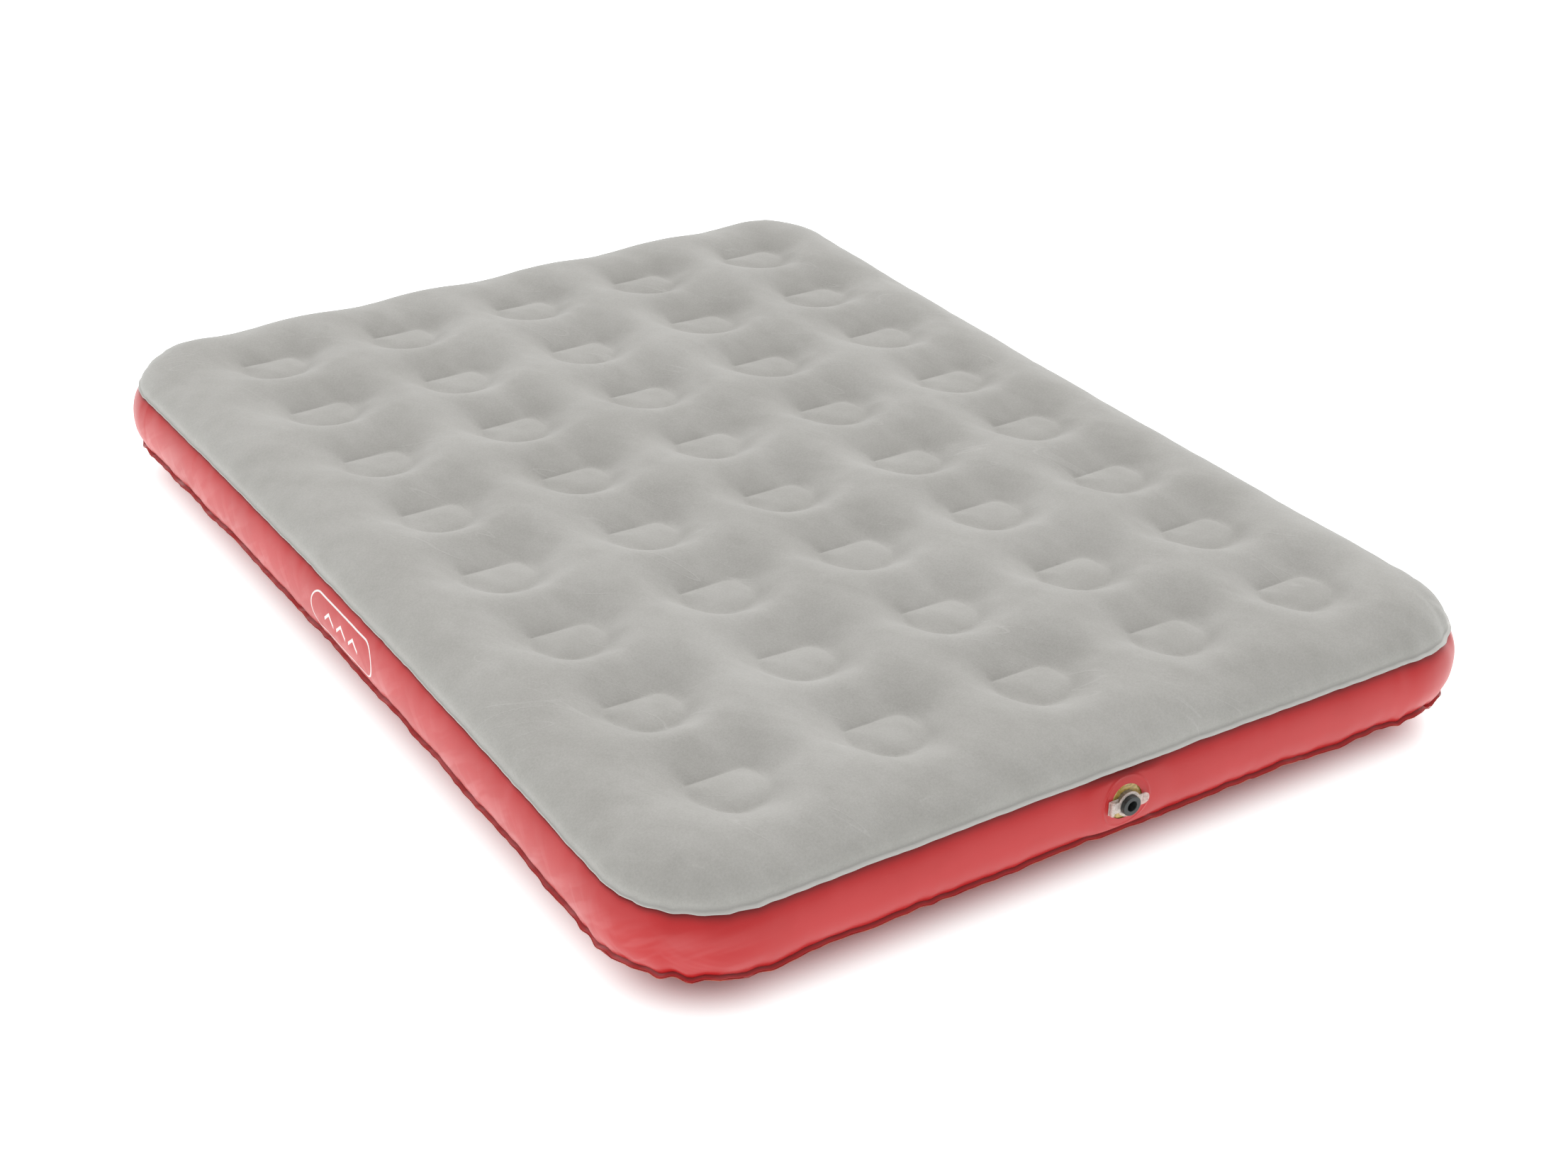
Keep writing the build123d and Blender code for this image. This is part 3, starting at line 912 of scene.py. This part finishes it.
# %% Window for the valve
valve_low, valve_high = (Vector(corner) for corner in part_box("valve_neck"))
disc_low, disc_high = (Vector(corner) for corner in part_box("valve_disc"))
VALVE_X = (valve_low.x + valve_high.x) / 2
VALVE_Z = (valve_low.z + valve_high.z) / 2
WALL_FACE = disc_low.y - SHEET
WINDOW = 26 * MM
DISC = (disc_high.x - disc_low.x) / 2
SEAM_MIDDLE = (TOP_SEAM + BOTTOM_SEAM) / 2
FACE_RADIUS = 0.124      # curve of the wall, seen from the side, where the disc holds it
FOOT_SIDE = -HALF_Y * 0.9
DIVIDE_WITHIN = 0.048    # faces this near the valve's axis are divided


def valve_face(z):
    """Y of the wall's outer face in front of the disc, at a height."""
    return WALL_FACE + (z - SEAM_MIDDLE) ** 2 / (2 * FACE_RADIUS)


def settle_on_valve(points):
    """Draw the foot wall onto the disc's curve round the valve."""
    away = np.hypot(points[:, 0] - VALVE_X, points[:, 2] - VALVE_Z)
    share = fade_between(away, 0.036, 0.085) * (points[:, 1] < FOOT_SIDE)
    share *= fade_between(np.abs(points[:, 2] - SEAM_MIDDLE), 0.036, 0.047)
    weld = 0.7 * MM * np.exp(-((away - DISC - 2 * MM) / (1.8 * MM)) ** 2)
    points[:, 1] += (valve_face(points[:, 2]) - weld - points[:, 1]) * share


def cut_window(piece):
    """Divide the faces round the valve, delete those inside the window and round its rim."""
    mesh = bmesh.new()
    mesh.from_mesh(piece.data)

    def away(point):
        return math.hypot(point.x - VALVE_X, point.z - VALVE_Z) if point.y < FOOT_SIDE else 9.0

    near = [edge for edge in mesh.edges
            if away((edge.verts[0].co + edge.verts[1].co) / 2) < DIVIDE_WITHIN]
    bmesh.ops.subdivide_edges(mesh, edges=near, cuts=3, use_grid_fill=True)
    inside = [face for face in mesh.faces if away(face.calc_center_median()) < WINDOW]
    bmesh.ops.delete(mesh, geom=inside, context="FACES")
    for vertex in mesh.verts:
        if vertex.is_boundary and away(vertex.co) < WINDOW + 5 * MM:
            reach = away(vertex.co)
            vertex.co.x = VALVE_X + (vertex.co.x - VALVE_X) * WINDOW / reach
            vertex.co.z = VALVE_Z + (vertex.co.z - VALVE_Z) * WINDOW / reach
    points = np.array([vertex.co for vertex in mesh.verts])
    settle_on_valve(points)
    for vertex, place in zip(mesh.verts, points):
        vertex.co = place
    mesh.to_mesh(piece.data)
    mesh.free()
    smooth_faces(piece.data)
    print("window cut,", len(inside), "faces taken out")


settle_on_valve(wall_points)
wall_skin = mesh_object("wall_skin", wall_points, wall_faces, RED_WALL, {"weld": wall_weld_shade})
cut_window(wall_skin)
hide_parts("side_wall")
on_base(wall_skin)

# %% [markdown]
# The base sheet is made the way the top is, upside down and with a coarser grid, since it carries no
# sharp light. It rests on the floor, so whatever would hang below the floor is flattened onto it: those
# flat patches are where the bed stands.

# %% Base sheet
def make_base_sheet():
    wide, long = bed_grid(8 * MM, 17 * MM, EDGE_STEPS[::2])
    base_loop = SeamLoop(wide, long)
    share, own = loop.along / loop.total, base_loop.along / base_loop.total
    lift = np.interp(own, share, loop.base_lift, period=1)
    push = np.interp(own, share, loop.base_push, period=1)
    x, y, rise, _ = sheet_points(wide, long, base_loop, -lift, push, 8, tucked=True)
    z = np.maximum(BOTTOM_SEAM - SHEET_LIFT - rise, 0)
    edge = base_loop.index
    seam_z = z[edge]
    rings = [ring(base_loop, push + out, seam_z + up) for out, up in (
        (1.5 * MM, 0.2 * MM), (0.83 * LIP, 0.1 * MM), (0.92 * LIP, 0.7 * MM), (0.83 * LIP, 1.3 * MM),
        (-3 * MM, 1.3 * MM))]
    points, faces = edged_sheet(np.column_stack([x, y, z]), grid_faces(len(wide), len(long))[:, ::-1],
                                edge, rings, upwards=False)
    return mesh_object("base_skin", points, faces, RED_BASE)


base_skin = make_base_sheet()
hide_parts("bottom_sheet")
on_base(base_skin)

# %% [markdown]
# The lower seam is trimmed with a knife, and the cut shows a thin tan and brown line where the vinyl is
# not printed. It follows a path, so Geometry Nodes sweep a small bead along the seam: the loop's points
# come in as a ring of edges, Mesh to Curve makes them a path, and Curve to Mesh gives it its thickness.

# %% Bead tree
def geometry_tree(name, inputs):
    """A Geometry Nodes group with one geometry output and named inputs."""
    group = bpy.data.node_groups.new(name, "GeometryNodeTree")
    group.interface.new_socket("Geometry", in_out="INPUT", socket_type="NodeSocketGeometry")
    for label, (kind, start) in inputs.items():
        socket = group.interface.new_socket(label, in_out="INPUT", socket_type=kind)
        socket.default_value = start
    group.interface.new_socket("Geometry", in_out="OUTPUT", socket_type="NodeSocketGeometry")
    tree = Tree(group)
    return tree, tree.add("NodeGroupInput").outputs, tree.add("NodeGroupOutput")


def finish_tree(tree, result, out, material):
    """Realize what was instanced, give it a material and hand it out."""
    real = tree.add("GeometryNodeRealizeInstances", {}, {"Geometry": result})
    painted = tree.add("GeometryNodeSetMaterial", {}, {
        "Geometry": real.outputs[0], "Material": material})
    tree.feed(out.inputs["Geometry"], painted.outputs[0])


def grow(name, base_mesh, group, values):
    """Run a geometry tree on a base mesh and return the result as a plain mesh object."""
    host = put(name + "_host", base_mesh)
    modifier = host.modifiers.new("grow", "NODES")
    modifier.node_group = group
    sockets = {item.name: item.identifier for item in group.interface.items_tree
               if item.item_type == "SOCKET" and item.in_out == "INPUT"}
    for label, value in values.items():
        modifier[sockets[label]] = value
    bpy.context.view_layer.update()
    grown = host.evaluated_get(bpy.context.evaluated_depsgraph_get())
    mesh = bpy.data.meshes.new_from_object(grown)
    bpy.data.objects.remove(host)
    mesh.name = name
    smooth_faces(mesh)
    piece = put(name, mesh)
    print(name, len(mesh.vertices), "points", len(mesh.polygons), "faces")
    return piece


def bead_group(material):
    tree, given, out = geometry_tree("seam_bead", {
        "Thickness": ("NodeSocketFloat", 0.001), "Sides": ("NodeSocketInt", 6)})
    path = tree.add("GeometryNodeMeshToCurve", {}, {"Mesh": given["Geometry"]})
    upright = tree.add("GeometryNodeSetCurveNormal", {"mode": "Z_UP"}, {"Curve": path.outputs[0]})
    section = tree.add("GeometryNodeCurvePrimitiveCircle", {}, {
        "Resolution": given["Sides"], "Radius": (Value(tree, given["Thickness"]) * 0.5).socket})
    swept = tree.add("GeometryNodeCurveToMesh", {}, {
        "Curve": upright.outputs[0], "Profile Curve": section.outputs["Curve"]})
    finish_tree(tree, swept.outputs[0], out, material)
    return tree.node_tree


def edge_ring(name, points):
    """A closed ring of edges."""
    mesh = bpy.data.meshes.new(name)
    count = len(points)
    mesh.from_pydata(points.tolist(), [(n, (n + 1) % count) for n in range(count)], [])
    return mesh


def cut_edge_material():
    material, tree, paint, place = new_material("cut_edge_tan", (0.72, 0.25, 0.10), 0.5)
    mottle = noise(tree, place, 60.0, 3.0).ramp(0.3, 0.7)
    grain = noise(tree, place, 1800.0, 1.0)
    paint(base_color=tree.mix(mottle, (0.34, 0.02, 0.015, 1), (0.60, 0.15, 0.09, 1)))
    paint(roughness=0.42 + grain * 0.2)
    return material


CUT_EDGE = cut_edge_material()
bead_path = ring(loop, loop.base_push + 0.92 * LIP, BOTTOM_SEAM + loop.base_lift - 0.4 * MM)
cut_edge = grow("seam_cut_edge", edge_ring("bead_path", bead_path), bead_group(CUT_EDGE),
                {"Thickness": 1.1 * MM, "Sides": 6})
on_base(cut_edge)

# %% [markdown]
# Forty tie tubes hold the top and the base together. They repeat on a grid, so a tree makes them: a
# point grid at the tubes' pitch, one D-shaped sleeve instanced on every point. They stand inside the
# skins, where only the clear valve gives a glimpse of them, and they ride on the base.

# %% Tie tubes
def sleeve_mesh():
    """One D-shaped sleeve about its own axis, from its foot at 0 to its top, open at both ends."""
    turn = np.linspace(0, 2 * math.pi, 72, endpoint=False)
    x, y = TUBE_RADIUS * np.cos(turn), TUBE_RADIUS * np.sin(turn)
    outline = np.column_stack([x, np.minimum(y, TUBE_FLAT)])
    levels = np.linspace(0, 1, 9)
    height = first_high.z - first_low.z
    points = []
    for level in levels:
        waist = 1 - 0.05 * math.sin(math.pi * level)
        points.append(np.column_stack([outline * waist, np.full(len(outline), level * height)]))
    faces = tube_faces(len(outline), len(levels))
    mesh = bpy.data.meshes.new("sleeve")
    mesh.from_pydata(np.vstack(points).tolist(), [], faces.tolist())
    holder = put("sleeve_pattern", mesh)
    wall = holder.modifiers.new("wall", "SOLIDIFY")
    wall.thickness = 1.0 * MM
    return holder


def tube_group(material, sleeve):
    tree, given, out = geometry_tree("tie_tube_grid", {
        "Columns": ("NodeSocketInt", 5), "Rows": ("NodeSocketInt", 8),
        "Width": ("NodeSocketFloat", 1.0), "Length": ("NodeSocketFloat", 1.5),
        "Foot": ("NodeSocketFloat", 0.0)})
    grid = tree.add("GeometryNodeMeshGrid", {}, {
        "Size X": given["Width"], "Size Y": given["Length"],
        "Vertices X": given["Columns"], "Vertices Y": given["Rows"]})
    raised = tree.add("ShaderNodeCombineXYZ", {}, {"Z": given["Foot"]})
    placed = tree.add("GeometryNodeSetPosition", {}, {
        "Geometry": grid.outputs["Mesh"], "Offset": raised.outputs[0]})
    pattern = tree.add("GeometryNodeObjectInfo", {}, {"Object": sleeve})
    stood = tree.add("GeometryNodeInstanceOnPoints", {}, {
        "Points": placed.outputs[0], "Instance": pattern.outputs["Geometry"]})
    finish_tree(tree, stood.outputs[0], out, material)
    return tree.node_tree


sleeve = sleeve_mesh()
tie_tubes = grow("tie_tubes", bpy.data.meshes.new("empty"), tube_group(MILKY, sleeve), {
    "Columns": len(columns), "Rows": len(rows), "Width": columns[-1] - columns[0],
    "Length": rows[-1] - rows[0], "Foot": first_low.z})
bpy.data.objects.remove(sleeve)
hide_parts(*tube_nodes)
on_base(tie_tubes)

# %% [markdown]
# Behind the window the clear disc carries the valve's neck. It is a soft film, so it is not quite flat:
# two folds run out from the neck, with a slight ripple between them.

# %% Valve disc
FOLDS = (0.9 * MM, 2.35, 0.10), (0.6 * MM, 4.9, 0.16)    # height, direction and width


def make_disc():
    rounds, spokes = 16, 96
    points = []
    for number in range(rounds + 1):
        reach = np.interp(number / rounds, [0, 1], [valve_high.x - VALVE_X - 1.0 * MM, DISC])
        turn = np.linspace(0, 2 * math.pi, spokes, endpoint=False)
        x, z = VALVE_X + reach * np.cos(turn), VALVE_Z + reach * np.sin(turn)
        fold = sum(high * np.exp(-((turn - at) / wide) ** 2) for high, at, wide in FOLDS)
        ripple = 0.25 * MM * np.sin(3 * turn + 30 * reach / DISC)
        points.append(np.column_stack([x, valve_face(z) + 1.9 * MM - fold - ripple, z]))
    faces = tube_faces(spokes, rounds + 1)
    piece = mesh_object("valve_disc_film", np.vstack(points), faces, CLEAR_DISC)
    film = piece.modifiers.new("film", "SOLIDIFY")
    film.thickness = 0.8 * MM
    film.offset = 0.0
    return piece


def settled(piece):
    """The piece with its modifiers worked into its mesh."""
    shaped = piece.evaluated_get(bpy.context.evaluated_depsgraph_get())
    mesh = bpy.data.meshes.new_from_object(shaped)
    piece.modifiers.clear()
    piece.data = mesh
    return piece


disc_film = settled(make_disc())
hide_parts("valve_disc")
on_base(disc_film)

# %% [markdown]
# The neck, its strap lug, the cap's strap, the stopper and the flap are moulded, and their engineering
# shapes are right except that no moulding has such keen edges. Each is copied, its loose triangles
# merged, and every edge over thirty degrees rounded with a Bevel modifier.

# %% Moulded valve pieces
def soften(node, name, material, body, width):
    """A copy of a CAD node with its keen edges rounded, in place of the node."""
    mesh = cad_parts[node].data.copy()
    shape = bmesh.new()
    shape.from_mesh(mesh)
    bmesh.ops.remove_doubles(shape, verts=shape.verts, dist=1e-6)
    bmesh.ops.dissolve_limit(shape, angle_limit=math.radians(2), verts=shape.verts, edges=shape.edges)
    bmesh.ops.recalc_face_normals(shape, faces=shape.faces)
    shape.to_mesh(mesh)
    shape.free()
    mesh.materials.clear()
    mesh.materials.append(material)
    smooth_faces(mesh)
    piece = put(name, mesh)
    rounding = piece.modifiers.new("rounding", "BEVEL")
    rounding.width = width
    rounding.segments = 3
    rounding.limit_method = "ANGLE"
    rounding.angle_limit = math.radians(30)
    rounding.harden_normals = True
    settled(piece)
    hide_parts(node)
    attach(piece, body)
    print(name, len(piece.data.polygons), "faces, rides on", body)


soften("valve_neck", "neck", CLEAR_NECK, "valve", 0.5 * MM)
soften("strap_anchor", "strap_lug", CLEAR_STRAP, "valve", 0.25 * MM)
soften("cap_strap", "strap", CLEAR_STRAP, "cap", 0.4 * MM)
soften("cap_plug", "stopper", BLACK, "cap", 0.3 * MM)
soften("check_flap", "flap", CLEAR_STRAP, "flap", 0.3 * MM)

# %% [markdown]
# The pull tab has a few small grip ribs, so that a wet thumb does not slip. They repeat in a line,
# which is the smallest use of Geometry Nodes in the file: a line of points and one rounded bar on each.

# %% Grip ribs
strap_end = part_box("cap_strap")[1][0]


def rib_group(material):
    tree, given, out = geometry_tree("grip_ribs", {
        "Ribs": ("NodeSocketInt", 4), "Start": ("NodeSocketVector", (0, 0, 0)),
        "Step": ("NodeSocketVector", (0.002, 0, 0)), "Rib Length": ("NodeSocketFloat", 0.01),
        "Rib Radius": ("NodeSocketFloat", 0.0004)})
    line = tree.add("GeometryNodeMeshLine", {"mode": "OFFSET"}, {
        "Count": given["Ribs"], "Start Location": given["Start"], "Offset": given["Step"]})
    bar = tree.add("GeometryNodeMeshCylinder", {}, {
        "Vertices": 10, "Radius": given["Rib Radius"], "Depth": given["Rib Length"]})
    stood = tree.add("GeometryNodeInstanceOnPoints", {}, {
        "Points": line.outputs["Mesh"], "Instance": bar.outputs["Mesh"]})
    finish_tree(tree, stood.outputs[0], out, material)
    return tree.node_tree


ribs = grow("grip_ribs", bpy.data.meshes.new("empty"), rib_group(CLEAR_STRAP), {
    "Ribs": 4, "Start": (strap_end - 10 * MM, valve_low.y - 2.1 * MM, VALVE_Z),
    "Step": (2.2 * MM, 0, 0), "Rib Length": 9 * MM, "Rib Radius": 0.5 * MM})
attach(ribs, "cap")

# %% [markdown]
# Last comes the floor: a wide white sheet of seamless paper that glows like a light table, a painted
# light, except in a band shaped to the bed's outline, so that it stays white while the bed's own shadow
# stays close and grey: that band paints the shadow's edge. Near the bed the glow, and the paper's own
# colour, are a little green-blue, which cancels the red that the wall throws down. It belongs to the
# studio.

# %% Floor
FLOOR_HALF = 60.0
NO_LIGHT, COOL_LIGHT, WARM_LIGHT = (0, 0, 0, 1), (0.90, 1, 1, 1), (1.0, 0.97, 0.97, 1)


def make_floor():
    material, tree, paint, place = new_material("glowing_studio_paper", (0.81, 0.89, 0.88), 0.8)
    x, y, _ = axes(tree, place)
    across_gap = (abs(x) - (HALF_X - CORNER)).most(0.0)
    along_gap = (abs(y + 0.01) - (HALF_Y - CORNER)).most(0.0)
    gap = (across_gap * across_gap + along_gap * along_gap).math("SQRT") - CORNER
    tooth = noise(tree, place, 300.0, 2.0)
    paint(roughness=0.75 + tooth * 0.15)
    # Painted light: the floor glows, except in a band shaped to the bed's outline that paints the edge of
    # its shadow; near the bed the glow is cool to cancel the red bounce.
    near_light = tree.mix(gap.ramp(-0.085, 0.020), NO_LIGHT, COOL_LIGHT)
    all_light = tree.mix(gap.ramp(0.02, 0.10), near_light, WARM_LIGHT)
    paint(emission_color=all_light)
    paint(emission_strength=0.80)
    points = np.array([(x, y, -0.5 * MM) for x in (-FLOOR_HALF, FLOOR_HALF)
                       for y in (-FLOOR_HALF, FLOOR_HALF)])
    return mesh_object("floor", points, np.array([[0, 2, 3, 1]]), material)


floor = make_floor()
